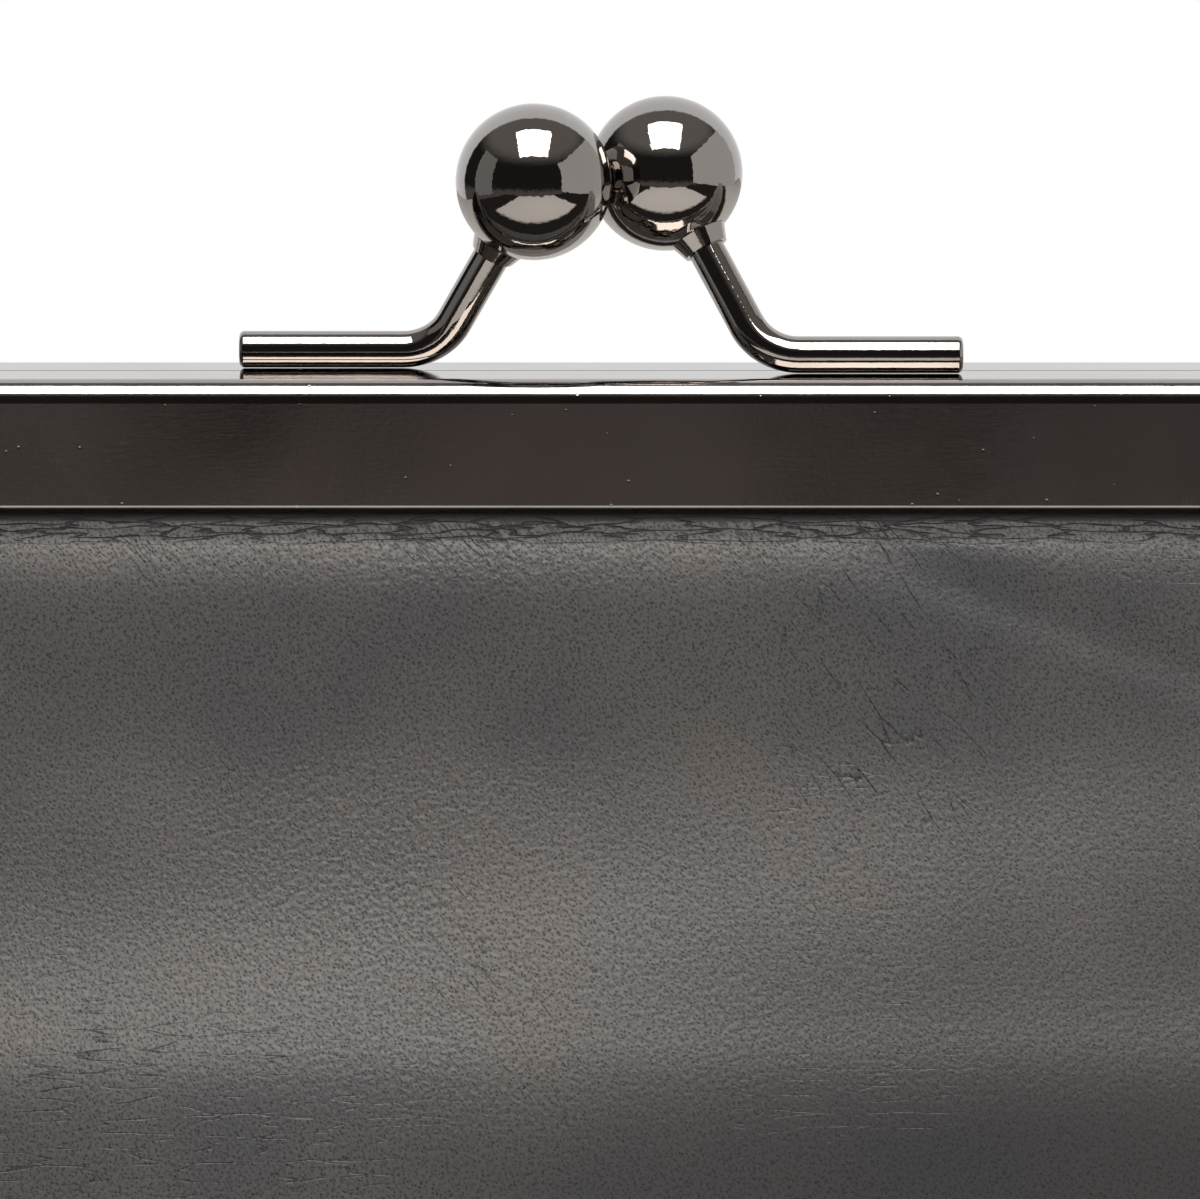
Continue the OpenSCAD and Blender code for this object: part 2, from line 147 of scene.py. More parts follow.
# %% Wrap a socket so that arithmetic adds Math nodes
class Wire:
    """One node's output, which Python can reckon with."""

    def __init__(self, tree, socket):
        self.tree = tree
        self.socket = socket

    def math(self, operation, *others):
        """Feed this and the others to a Math node."""
        node = self.tree.nodes.new("ShaderNodeMath")
        node.operation = operation
        for spot, item in zip(node.inputs, (self, *others)):
            plug(self.tree, spot, item)
        return Wire(self.tree, node.outputs[0])

    def __add__(self, other):
        return self.math("ADD", other)

    def __sub__(self, other):
        return self.math("SUBTRACT", other)

    def __mul__(self, other):
        return self.math("MULTIPLY", other)

    def __truediv__(self, other):
        return self.math("DIVIDE", other)

    def __pow__(self, other):
        return self.math("POWER", other)

    def __rsub__(self, other):
        return (self * -1) + other

    __radd__ = __add__
    __rmul__ = __mul__

    def step(self, low, high):
        """Smooth 0 to 1 as the value goes from low to high."""
        node = self.tree.nodes.new("ShaderNodeMapRange")
        node.interpolation_type = "SMOOTHSTEP"
        plug(self.tree, node.inputs["Value"], self)
        node.inputs["From Min"].default_value = low
        node.inputs["From Max"].default_value = high
        return Wire(self.tree, node.outputs["Result"])


def plug(tree, spot, item):
    """Fill a socket with a link or a plain value."""
    if isinstance(item, Wire):
        tree.links.new(item.socket, spot)
    else:
        spot.default_value = item


# %% Make the nodes of one tree
class Nodes:
    """Nodes of one tree, with the few patterns that the finishes share."""

    dims = "3D"

    def __init__(self, tree):
        self.tree = tree

    def node(self, kind, settings=None, out=0, **sockets):
        """Add a node of this kind. A socket is filled by its name, or by _ and its number."""
        node = self.tree.nodes.new("ShaderNode" + kind)
        for name, value in (settings or {}).items():
            setattr(node, name, value)
        for name, value in sockets.items():
            spot = node.inputs[int(name[1:])] if name[0] == "_" else node.inputs[name.replace("_", " ")]
            plug(self.tree, spot, value)
        return Wire(self.tree, node.outputs[out])

    def place(self, stretch=(1, 1, 1), turn=0.0, uv=False):
        """Coordinates in millimetres, on the object or on the piece's own map, turned then stretched."""
        start = self.node("TexCoord", out="UV" if uv else "Object")
        turned = self.node("Mapping", Vector=start, Rotation=(0, 0, turn))
        return self.node("Mapping", Vector=turned, Scale=[s / MM for s in stretch])

    def noise(self, where, scale, detail=2.0):
        """Soft noise round 0.5, with this many waves to the millimetre."""
        settings = {"noise_dimensions": self.dims}
        return self.node("TexNoise", settings, Vector=where, Scale=scale, Detail=detail)

    def mix(self, share, first, second):
        """One colour, going over into another as the share goes from 0 to 1."""
        settings = {"data_type": "RGBA"}
        return self.node("Mix", settings, out=2, _0=share, _6=first, _7=second)

    def wandering(self, where, size, reach):
        """Coordinates pushed about by up to half the reach, so that straight lines wander."""
        settings = {"noise_dimensions": self.dims}
        push = self.node("TexNoise", settings, Vector=where, Scale=1 / size, Detail=2.0, out="Color")
        shift = self.node("VectorMath", {"operation": "SCALE"}, _0=push, Scale=reach)
        return self.node("VectorMath", {"operation": "ADD"}, _0=where, _1=shift)

    def cells(self, where, size, feature="F1"):
        """Distance from the middle of the nearest of many scattered cells, 0 at the middle."""
        settings = {"feature": feature, "voronoi_dimensions": self.dims}
        return self.node("TexVoronoi", settings, Vector=where, Scale=1 / size, Randomness=0.9)

    def cracks(self, where, size, width):
        """Thin lines between cells: 1 on the line, falling to 0 at its width."""
        return 1 - self.cells(where, size, "DISTANCE_TO_EDGE").step(0.0, width / size)

    def ridges(self, where, size, width):
        """Long wavy lines that hardly ever meet: 1 on the line, falling to 0 at its width."""
        level = self.noise(where, 1 / size, 2.0)
        return 1 - (level - 0.5).math("ABSOLUTE").step(0.0, width / size)

    def spot(self, where, across, up, wide, high):
        """1 at one place on the map, falling to 0 this far from it, all in millimetres."""
        u, v = (self.node("SeparateXYZ", out=i, Vector=where) for i in range(2))
        return 1 - (((u - across) / wide) ** 2 + ((v - up) / high) ** 2).step(0.0, 1.1)


# %% A finish is a material, its principled shader and its nodes
class Finish(Nodes):
    """A named material, made with constants for its shader's sockets."""

    def __init__(self, name, **constants):
        self.material = bpy.data.materials.new(name)
        self.material.use_nodes = True
        super().__init__(self.material.node_tree)
        self.shader = self.tree.nodes["Principled BSDF"]
        self.set(**constants)

    def set(self, **sockets):
        """Fill sockets of the shader."""
        for name, value in sockets.items():
            plug(self.tree, self.shader.inputs[name.replace("_", " ")], value)

    def bump(self, height):
        """Height in millimetres."""
        normal = self.node("Bump", Height=height, Distance=MM, Strength=1.0)
        self.set(Normal=normal)


def dress(obj, finish):
    """Give a piece or a CAD node one finish."""
    obj.data.materials.clear()
    obj.data.materials.append(finish.material)


# %% [markdown]
# ## Black nickel
# The frame, rods and balls are steel plated with black nickel: a dark mirror that sends back a little
# over a third of the light, warm in its shadows. One even colour and roughness would do for a toy, but
# nothing is perfectly flat on the real metal. Polishing leaves a faint hatch, there are a few pits, and
# the pressed sheet is slightly wavy, so those three are added as very low bumps.

# %% Mix the black nickel
NICKEL = (0.38, 0.36, 0.345, 1)
NICKEL_DARK = (0.33, 0.305, 0.29, 1)
ALONG = (0.7, 6, 6)
UPRIGHT = (6, 6, 0.7)


def black_nickel(name, hatch, waves, ripples, roughness):
    """Plated steel: hatch is how strong its polishing marks are, waves and ripples are heights in mm."""
    f = Finish(name, Metallic=1.0)
    here = f.place()
    tone = f.noise(here, 0.05, 3.0)
    f.set(Base_Color=f.mix(tone.step(0.35, 0.7), NICKEL, NICKEL_DARK))
    along = f.noise(f.place(ALONG), 1.0, 3.0)
    upright = f.noise(f.place(UPRIGHT), 1.0, 3.0)
    marks = along * upright
    smudge = f.noise(here, 0.35, 4.0).step(0.4, 0.8)
    f.set(Roughness=roughness * (1 + 0.5 * smudge) + hatch * 0.06 * marks.step(0.2, 0.5))
    pits = 1 - f.cells(here, 1.8).step(0.03, 0.07)
    uneven = waves * f.noise(here, 0.055, 1.0) + ripples * f.noise(here, 2.6, 1.0)
    f.bump(uneven + hatch * 0.003 * marks - hatch * 0.006 * pits)
    return f


frame_nickel = black_nickel(
    "black_nickel_sheet", hatch=1.0, waves=0.10, ripples=0.002, roughness=0.06
)
clasp_nickel = black_nickel(
    "black_nickel_polished", hatch=0.15, waves=0.02, ripples=0.005, roughness=0.03
)
SHEET_NODES = ("front_frame", "rear_frame", "rear_hinge_plates", "hinge_rivets")
CLASP_PIECES = ("clasp_stem", "clasp_collar", "clasp_ball")
CLASP_NODES = [f"{side}_{piece}" for side in ("front", "rear") for piece in CLASP_PIECES]
for node in SHEET_NODES:
    dress(frame["nodes"][node], frame_nickel)
for node in CLASP_NODES:
    dress(frame["nodes"][node], clasp_nickel)
print("plated:", len(SHEET_NODES) + len(CLASP_NODES), "nodes")

# %% [markdown]
# ## Washers, paper cord and board
# Spring washers between the ears are bright steel with turning marks. Twisted kraft paper cord wedges
# the leather in the channel. Grey board stiffens the base. They hardly show, so a plain colour might
# pass, but each gets the one pattern that it is known by: rings, a twist and pulp.

# %% Mix the hidden finishes
def spring_steel():
    """Bright steel, turned about X."""
    f = Finish("spring_steel", Metallic=1.0, Base_Color=(0.55, 0.53, 0.51, 1))
    settings = {"wave_type": "RINGS", "rings_direction": "X"}
    rings = f.node("TexWave", settings, Vector=f.place(), Scale=3.0)
    f.set(Roughness=rings * 0.1 + 0.25)
    f.bump(rings * 0.004)
    return f


def kraft_paper():
    """Brown paper, twisted into a cord."""
    f = Finish("kraft_paper", Roughness=0.85)
    settings = {"bands_direction": "DIAGONAL"}
    twist = f.node("TexWave", settings, Vector=f.place(), Scale=0.35, Distortion=1.5)
    f.set(Base_Color=f.mix(twist, (0.42, 0.31, 0.20, 1), (0.60, 0.48, 0.33, 1)))
    f.bump(twist * 0.12)
    return f


def grey_board():
    """Pressed pulp, light and dark in specks."""
    f = Finish("grey_board", Roughness=0.9)
    pulp = f.noise(f.place(), 2.0, 4.0)
    f.set(Base_Color=f.mix(pulp, (0.30, 0.28, 0.25, 1), (0.42, 0.40, 0.36, 1)))
    f.bump(pulp * 0.05)
    return f


washer_steel, paper, board = spring_steel(), kraft_paper(), grey_board()
HIDDEN = {
    "hinge_washers": washer_steel,
    "front_paper_cord": paper,
    "rear_paper_cord": paper,
    "base_stiffener": board,
}
for node, finish in HIDDEN.items():
    dress(frame["nodes"][node], finish)
print("hidden parts finished:", ", ".join(HIDDEN))

# %% [markdown]
# ## Leather
# Smooth full grain calf, dyed black through. Up close it is a field of pores a third of a millimetre
# apart on fine soft pebbles, with hair-thin creases where it has bent. The finish has a waxy sheen that
# is rougher in the creases. A picture of leather could be laid on it, but noise and cells stay sharp at
# any distance and can be told where to crease. They are laid on the flat cut, the piece's own map in
# metres, as grain is, so that they follow every bend.

# %% Mix the leather
LEATHER_DARK = (0.062, 0.067, 0.079, 1)
LEATHER_WORN = (0.109, 0.102, 0.099, 1)
# The darkest tone is painted shade, laid on at the lower right
LEATHER_PAINTED_SHADE = (0.022, 0.023, 0.028, 1)
# Black for the pores, and for the painted shade in creases and below the frame
PORE_AND_SHADE_BLACK = (0.010, 0.010, 0.012, 1)
PORE_PITCH = 0.34
PEBBLE = 0.5
SLANT = math.radians(54)

# The frame marks the leather this far down, and the shade under its lip is painted in: for each, where
# it begins and where it is fullest
NEAR = 10.0
STRAINED = (7.5, 2.0)
CRUSH_AND_SHADE = (2.7, 1.5)
SHADED = (1.0, 0.4)

# Places on the flat cut: across, up, half width and half height
LONG_CREASES = (22, 103, 12, 20)
LEVEL_CREASES = (-38, 68, 32, 11)
# The last place is painted shade: the leather is darker at the lower right, where the pouch turns down
# away from the light
PAINTED_SHADE_SPOT = (45, 54, 75, 28)


def calf_leather():
    """Black calf, from its pores up to the creases of use."""
    f = Finish("calf_leather", Specular_IOR_Level=0.6)
    f.dims = "2D"
    flat = f.place(uv=True)
    mottle = f.noise(flat, 0.06, 4.0)
    fine = f.noise(flat, 4.0, 3.0)
    pricks = f.cells(f.wandering(f.place((0.8, 1.1, 1), SLANT, uv=True), 0.5, 0.3), PORE_PITCH)
    pores = (1 - pricks.step(0.08, 0.42)) * (0.6 + 0.4 * f.noise(flat, 1.3, 2.0).step(0.4, 0.6))
    pebble = f.cells(f.wandering(flat, 1.0, 0.5), PEBBLE, "SMOOTH_F1")
    looser = f.noise(flat, 0.02, 1.0).step(0.35, 0.7)

    # The bite of the frame crushes the grain: level wrinkles first, then fine slanting ones
    near = f.node("Attribute", {"attribute_name": "near_frame"}, out="Fac")
    # The crushed strip is also painted darker as a whole, painted shade just below the frame
    crush_and_shade, strained, shaded = (
        near.step(NEAR - begins, NEAR - full) for begins, full in (CRUSH_AND_SHADE, STRAINED, SHADED)
    )
    patch = f.noise(flat, 0.035, 2.0)
    strained = strained * (0.25 + 0.75 * patch.step(0.46, 0.6))
    level = f.cracks(f.wandering(f.place((0.20, 1.4, 1), uv=True), 0.9, 1.3), 1.1, 0.12) * crush_and_shade
    slanting = f.ridges(f.place((0.25, 1, 1), SLANT, uv=True), 1.1, 0.07) * strained

    # Handling leaves creases in patches: long slanting ones, and level ones where the pouch folds
    long_ones = f.cracks(f.wandering(f.place((0.2, 1.2, 1), SLANT, uv=True), 1.5, 0.9), 2.2, 0.09)
    level_ones = f.cracks(f.wandering(f.place((0.2, 1.3, 1), uv=True), 1.1, 1.0), 1.5, 0.10)
    broken = f.noise(flat, 0.3, 2.0).step(0.40, 0.62)
    slants = f.spot(flat, *LONG_CREASES) + 0.4 * patch.step(0.6, 0.68)
    levels = f.spot(flat, *LEVEL_CREASES) + 0.4 - 0.4 * patch.step(0.3, 0.4)
    hair = (1.4 * long_ones * slants + level_ones * levels) * broken

    worn = (mottle * 0.6 + fine * 1.1).step(0.55, 1.15)
    tone = f.mix(worn, LEATHER_DARK, LEATHER_WORN)
    # Painted shade: the leather is mixed darker at the lower right, where the pouch turns down from the
    # light
    tone = f.mix(0.75 * f.spot(flat, *PAINTED_SHADE_SPOT), tone, LEATHER_PAINTED_SHADE)
    # Pores are dark in the grain itself; the darker creases, the strip just below the bite and the band
    # under the lip are painted shade
    dark = 0.85 * pores + 0.9 * level + 0.3 * slanting + 0.4 * hair + shaded + 0.65 * crush_and_shade
    dark = dark.math("MINIMUM", 1.0)
    f.set(Base_Color=f.mix(dark, tone, PORE_AND_SHADE_BLACK))
    f.set(Roughness=0.42 + 0.10 * mottle + 0.2 * dark + 0.3 * shaded)
    relief = fine * 0.008 - pores * 0.014 - pebble * (0.04 + 0.03 * looser)
    f.bump(relief - level * 0.18 - slanting * 0.04 - hair * 0.045)
    return f


leather = calf_leather()
print("nodes in the leather:", len(leather.tree.nodes))

# %% [markdown]
# ## Lining
# The lining is a fine black twill, and its ribs run across the cut at a slant. Threads could be
# modelled, but at half a millimetre thick a weave reads as light and dark, so two waves make it.

# %% Mix the twill
def twill_lining():
    """Black twill: slanting ribs, with the weft faint between them."""
    f = Finish("twill_lining", Roughness=0.8, Sheen_Weight=0.3, Sheen_Roughness=0.4)
    f.dims = "2D"
    flat = f.place(uv=True)
    ribs = f.node("TexWave", {"bands_direction": "DIAGONAL"}, Vector=flat, Scale=0.45, Distortion=0.6)
    weft = f.node("TexWave", {"bands_direction": "X"}, Vector=flat, Scale=0.9)
    weave = 0.7 * ribs + 0.3 * weft
    f.set(Base_Color=f.mix(weave, (0.016, 0.015, 0.020, 1), (0.050, 0.048, 0.060, 1)))
    f.bump(weave * 0.08)
    return f


lining = twill_lining()
print("nodes in the lining:", len(lining.tree.nodes))

# %% [markdown]
# ## The shape of the closed pouch
# One formula gives the depth of a panel anywhere. Below the frame the leather rolls out from under the
# channel, hangs almost upright, leans out over what is inside, and stands upright again at the hinge.
# Below that it is a full pouch that rounds under to its base. Across, a panel is fullest in the middle
# and falls steeply to its seams, which is what gives a sewn pouch its pillow look. It could be sculpted
# or simulated, but a formula meets the metal exactly and can be changed by one number.

# %% How deep the pouch is in its middle
ARC = math.radians(35)
ARC_H = BELLY_D * math.sin(ARC)
ARC_Y = BELLY_D * math.cos(ARC)
NECK_TOP = OPENING_TOP - HINGE_Z
NECK_POWER = math.tan(ARC) * (NECK_TOP - ARC_H) / (ARC_Y - NECK_D)
HANGING = 20.0


def ease(t):
    """Smooth 0 to 1 as t goes from 0 to 1."""
    c = np.clip(t, 0, 1)
    return c * c * (3 - 2 * c)


def mix(a, b, t):
    """From a to b as t goes from 0 to 1."""
    return a + (b - a) * t


def middle_depth(z):
    """Depth of the pouch's front in its middle, from the parting plane."""
    h = z - HINGE_Z
    fall = np.clip(1 - (h - ARC_H) / (NECK_TOP - ARC_H), 0, 1)
    neck = NECK_D + (ARC_Y - NECK_D) * fall**NECK_POWER
    belly = np.sqrt(BELLY_D**2 - np.clip(h, 0, ARC_H) ** 2)
    above = np.where(h > ARC_H, neck, belly)
    side = mix(BELLY_D, POUCH_D, ease(-h / HANGING))
    round_up = np.sqrt(np.clip(1 - (1 - np.clip(z / BASE_ROUND, 0, 1)) ** 2, 0, 1))
    below = BASE_D + (side - BASE_D) * round_up
    return np.where(h > 0, above, below)


neck_depth, hinge_depth = middle_depth(np.array([OPENING_TOP - 5, HINGE_Z]))
print(f"depth at the neck {neck_depth:.1f}, at the hinge {hinge_depth:.1f} mm")


# %% Where the seams run
RIM_IN = 3.0


def seam_half(z):
    """Half width of the free leather: along the arms inside the frame, and out to the seams below it."""
    below = mix(HALF_W - RIM_IN, POUCH_X, ease((RIM_Z - z) / (RIM_Z / 2)))
    return mix(below, SEAM_IN, ease((z - RIM_Z) / (ARM_FOOT + 2 - RIM_Z)))


def corner_angle(z):
    """How far the seam has turned round the pouch's lower corner, in radians."""
    return np.arcsin(np.clip((POUCH_R - z) / POUCH_R, 0, 1))


def corner_cut(z):
    """How far in the lower corner has brought the seam."""
    return POUCH_R * (1 - np.cos(corner_angle(z)))


def seam_depth(z):
    """Depth of the seam from the parting plane."""
    below = mix(BASE_D, GUSSET_HALF, np.clip(z / RIM_Z, 0, 1))
    return mix(below, CHANNEL_Y, ease((z - RIM_Z) / (ARM_FOOT - RIM_Z)))


base_half, rim_half = seam_half(np.array([POUCH_R, RIM_Z]))
print(f"half width at the base {base_half:.1f}, at the gusset's top {rim_half:.1f} mm")


# %% How the leather fills out from its edges
OPENING_R = CORNER_R - FACE_W
PILLOW_FLAT = 3
PILLOW_EDGE = 0.6


def below_bar(x, z):
    """Height from a point up to the frame's top bar, whose inner corners are round."""
    past = np.clip(np.abs(x) - CORNER_X, 0, OPENING_R)
    return OPENING_TOP - OPENING_R + np.sqrt(OPENING_R**2 - past**2) - z


def roll_out(x, z):
    """0 where the channel holds the leather, rising to 1 below it."""
    return 1 - np.exp(-np.clip(below_bar(x, z), 0, None) / ROLL_H)


def fullness(share):
    """1 in the middle of a panel, falling steeply to 0 at its seams."""
    return np.clip(1 - np.abs(share) ** PILLOW_FLAT, 0, 1) ** PILLOW_EDGE


print("fullness from the middle to a seam:", fullness(np.linspace(0, 1, 5)).round(2).tolist())

# %% [markdown]
# ## A panel as a shaped grid
# A leather panel starts as a flat grid, as a cut piece does. Each point's place on the grid says how far
# across and how far up it is, and the formulas lift it into the pouch. Its edges could be extruded by
# hand, but a grid keeps count of its rows and columns, which gives the flat cut too. At the seams the
# leather turns in over a small radius, so that two pieces meet in a groove. The grid's own map gets the
# flat lengths, which the grain is laid on.

# %% Add a grid, and read and move its points
def new_grid(name, across, up):
    """A flat grid of that many faces, whose points run from -1 to 1 both ways."""
    bpy.ops.mesh.primitive_grid_add(x_subdivisions=across, y_subdivisions=up, size=2)
    obj = bpy.context.object
    obj.name = name
    obj.data.name = name
    bpy.ops.object.select_all(action="DESELECT")
    return obj


def grid_steps(obj, across, up):
    """Column and row number of each point, from 0."""
    co = points(obj)
    return np.rint((co[:, 0] + 1) * across / 2), np.rint((co[:, 1] + 1) * up / 2)


def points(obj):
    """A piece's points, in metres."""
    co = np.zeros(len(obj.data.vertices) * 3)
    obj.data.vertices.foreach_get("co", co)
    return co.reshape(-1, 3)


def put(obj, co):
    """Move a piece's points to these places, given in millimetres."""
    obj.data.vertices.foreach_set("co", (np.asarray(co) * MM).ravel())
    obj.data.update()


# %% Measure the flat cut
FLAT_SHARE = 0.7


def flat_lengths(place, col, row, across, up):
    """Lengths along a grid's rows and columns, from its middle column and its lowest row.

    Columns at the sides are a little longer or shorter than the middle one, and each point takes most
    of its height from the middle one, so that the grain stays level.
    """
    order = np.lexsort((col, row))
    grid = place[order].reshape(up + 1, across + 1, 3)
    along = np.linalg.norm(np.diff(grid, axis=1), axis=2)
    u = np.concatenate([np.zeros((up + 1, 1)), np.cumsum(along, axis=1)], axis=1)
    u = u - u[:, across // 2 : across // 2 + 1]
    rising = np.linalg.norm(np.diff(grid, axis=0), axis=2)
    v = np.concatenate([np.zeros((1, across + 1)), np.cumsum(rising, axis=0)], axis=0)
    flat = np.zeros((2, len(place)))
    flat[0, order] = u.ravel()
    flat[1, order] = mix(v, v[:, across // 2 : across // 2 + 1], FLAT_SHARE).ravel()
    return flat


def lay_flat_map(obj, u, v):
    """Set the map from flat lengths in millimetres at each point."""
    loops = np.zeros(len(obj.data.loops), np.int32)
    obj.data.loops.foreach_get("vertex_index", loops)
    flat = np.stack([u, v], axis=1)[loops] * MM
    obj.data.uv_layers.active.data.foreach_set("uv", flat.ravel())


# %% Turn a shaped grid into a sheet
TOUCHING = 0.002
CREASE_ANGLE = math.radians(50)


def select_only(obj):
    """Select one piece alone."""
    bpy.ops.object.select_all(action="DESELECT")
    obj.select_set(True)
    bpy.context.view_layer.objects.active = obj


def face_to(obj, way):
    """Flip a sheet whose faces look away from this way on the whole."""
    normals = np.zeros(len(obj.data.polygons) * 3)
    obj.data.polygons.foreach_get("normal", normals)
    if normals.reshape(-1, 3).mean(axis=0).dot(way) < 0:
        obj.data.flip_normals()


def thicken(obj, thickness):
    """Merge the points that meet at a corner, and give the sheet its thickness inwards."""
    select_only(obj)
    bpy.ops.object.mode_set(mode="EDIT")
    bpy.ops.mesh.select_all(action="SELECT")
    bpy.ops.mesh.remove_doubles(threshold=TOUCHING * MM)
    bpy.ops.object.mode_set(mode="OBJECT")
    solid = obj.modifiers.new("thickness", "SOLIDIFY")
    solid.thickness = thickness * MM
    solid.offset = -1
    bpy.ops.object.modifier_apply(modifier=solid.name)
    bpy.ops.object.shade_smooth_by_angle(angle=CREASE_ANGLE)
    bpy.ops.object.select_all(action="DESELECT")


def make_sheet(obj, place, steps, way, finish):
    """Shape a grid as a sheet that faces one way, give it its thickness and lay its flat cut on its map.
    """
    put(obj, place)
    u, v = flat_lengths(place, *steps)
    lay_flat_map(obj, u, v)
    face_to(obj, way)
    areas = np.zeros(len(obj.data.polygons))
    obj.data.polygons.foreach_get("area", areas)
    thicken(obj, LEATHER_T if finish is leather else LINING_T)
    dress(obj, finish)


# %% [markdown]
# ## How the panel meets the frame
# The channel bites the leather along its top and both arms. Just below the bite the grain is crushed
# into small puckers, since the cut is a little longer than the channel. Lower down a pouch that has
# been filled and emptied keeps broad soft swells, one slanting fold and slack at the right, and folds
# fan out from the ends of the arms. Bumps in the finish can't catch the light as such shapes do, so all
# of them are in the mesh, and each long fold is a ridge or a hollow with a height, a place and a width.

# %% Shape a panel
SEAM_ROLL = 0.9
ROLL_STEPS = 3
SIDE_CROWDING = 0.55
TOP_Z = FRAME_TOP - 3.5
ROW_SWEEP = 0.62 * math.pi
FLANGE_X = HALF_W - SHEET_T - 2.7
FLANGE_R = 12.6
SWELL = 0.55
SWELL_OVER = 18.0
PUCKER = 0.16
PUCKER_SIZE = 3.6
PUCKER_RISE = 0.8
PUCKER_FADE = 3.0


def wander(x, z, size, seed):
    """Smooth noise from -1 to 1 at each point, of features about this many millimetres across."""
    return np.array([noise.noise(Vector((a / size, b / size, seed))) for a, b in zip(x, z)])


def below_opening(x, z):
    """Distance from the frame's inner edge, which bites the leather, in millimetres."""
    inside = HALF_W - FACE_W - np.abs(x) + np.clip(ARM_FOOT - z, 0, None)
    return np.clip(np.minimum(below_bar(x, z), inside), 0, None)


def panel_place(col, row, cols, rows, seed):
    """Places of a front panel's points in millimetres."""
    total = cols + 2 * ROLL_STEPS
    j = col - total / 2
    past = np.clip(np.abs(j) - cols / 2, 0, None) / ROLL_STEPS
    even = np.clip(np.abs(j) / (cols / 2), 0, 1)
    share = np.sign(j) * mix(even, np.sin(even * math.pi / 2), SIDE_CROWDING)
    up = np.clip((row - ROLL_STEPS) / rows, 0, 1)
    under = np.clip((ROLL_STEPS - row) / ROLL_STEPS, 0, 1)
    z = TOP_Z * (1 - np.cos(up * ROW_SWEEP)) / (1 - math.cos(ROW_SWEEP))
    turn = corner_angle(z)
    x = share * (seam_half(z) - corner_cut(z))
    seam_y = seam_depth(z)
    rise = np.where(z > HINGE_Z, roll_out(x, z), 1)
    free = rise * fullness(share)
    y = seam_y + (middle_depth(z) - seam_y) * free
    y = y + SWELL * free * ease((z - 2) / SWELL_OVER) * swell(x, z, seed)
    below = below_opening(x, z)
    puckers = ease(below / PUCKER_RISE) * np.exp(-below / PUCKER_FADE)
    y = y + PUCKER * puckers * wander(x, z * 0.5, PUCKER_SIZE, seed + 9)
    return turn_edges(np.stack([x, y, z], axis=1), np.sign(j), turn, past, under)


def turn_edges(place, way, turn, past, under):
    """Spread the outer columns into the channel, or roll them and the lowest rows in at the seam."""
    x, y, z = place.T
    sweep = np.maximum(past, under) * math.pi / 2
    held = ease((z - RIM_Z) / (ARM_FOOT - RIM_Z)) * (under == 0)
    reach = np.sqrt(np.clip(FLANGE_R**2 - np.clip(z - CORNER_Z, 0, None) ** 2, 0, None))
    flange = np.minimum(FLANGE_X, CORNER_X + reach)
    rolled_x = np.abs(x) - SEAM_ROLL * (1 - np.cos(sweep)) * np.cos(turn)
    rolled_z = z + SEAM_ROLL * (1 - np.cos(sweep)) * np.sin(turn)
    edge = (past > 0) | (under > 0)
    wide = np.where(past > 0, mix(rolled_x, mix(np.abs(x), flange, past), held), np.abs(x))
    high = np.where(edge, mix(rolled_z, z, held), z)
    deep = np.where(edge, y - SEAM_ROLL * np.sin(sweep) * (1 - held), y)
    return np.stack([way * wide, -deep, high], axis=1)


# %% Give the panel its folds
FAN_FOLDS = 7
FAN_HEIGHT = 1.7
FAN_RISE = 12.0
FAN_FADE = 20.0

# Long ridges and hollows: height, place in the panel's middle, rise to the right, and half width
ROLL = (0.8, OPENING_TOP - 6, 0.0, 3.5)
HOLLOW = (-0.9, OPENING_TOP - 17, 0.0, 6.0)
FULL = (1.8, HINGE_Z + 18, 0.14, 8.0)
SLACK = (-3.5, HINGE_Z - 3, 0.10, 14.0)
FOLD = (-1.6, OPENING_TOP + 4, -0.34, 2.1)


def ridge(x, z, height, middle, slope, width):
    """Height of one long ridge, or of a hollow where the height is below 0."""
    return height * np.exp(-(((z - middle - slope * x) / width) ** 2))


def arm_fan(x, z):
    """Folds that fan out from each arm's end and fade away from it."""
    inwards, down = SEAM_IN - np.abs(x), ARM_FOOT - z
    away = np.hypot(inwards, down)
    folds = FAN_HEIGHT * np.sin(FAN_FOLDS * np.arctan2(down, inwards))
    return folds * ease(away / FAN_RISE) * np.exp(-away / FAN_FADE) * ease((z - 8) / 20)


def swell(x, z, seed):
    """Height of the soft swells, the folds of use and the fans together."""
    broad = wander(x, z * 1.6, 38, seed) * 0.9 + wander(x, z, 17, seed + 5) * 0.35
    roll = ridge(x, z, *ROLL) * (1 - 0.9 * ease((x + 10) / 50))
    slack = ridge(x, z, *SLACK) * ease((x + 15) / 50)
    fold = ridge(x, z, *FOLD) * ease((x - 14) / 16) * ease((92 - x) / 30)
    return broad + arm_fan(x, z) + roll + ridge(x, z, *HOLLOW) + ridge(x, z, *FULL) + slack + fold


print("heights of the long folds in mm:", [fold[0] for fold in (ROLL, HOLLOW, FULL, SLACK, FOLD)])

# %% Make the leather panels
FRONT_SEED, REAR_SEED = 3.7, 11.2
PANEL_COLS = 220
PANEL_ROWS = 150


def panel(name, side, seed, cols, rows, finish, depth=0.0):
    """A sheet at the front (side -1) or the rear (1), this depth in from the leather's face."""
    across, up = cols + 2 * ROLL_STEPS, rows + ROLL_STEPS
    obj = new_grid(name, across, up)
    col, row = grid_steps(obj, across, up)
    place = panel_place(col, row, cols, rows, seed)
    if depth:
        place = moved_inwards(place, col, row, across, up, depth)
        place[:, 2] = np.maximum(place[:, 2], depth)
    make_sheet(obj, place * (1, -side, 1), (col, row, across, up), (0, side, 0), finish)
    return obj


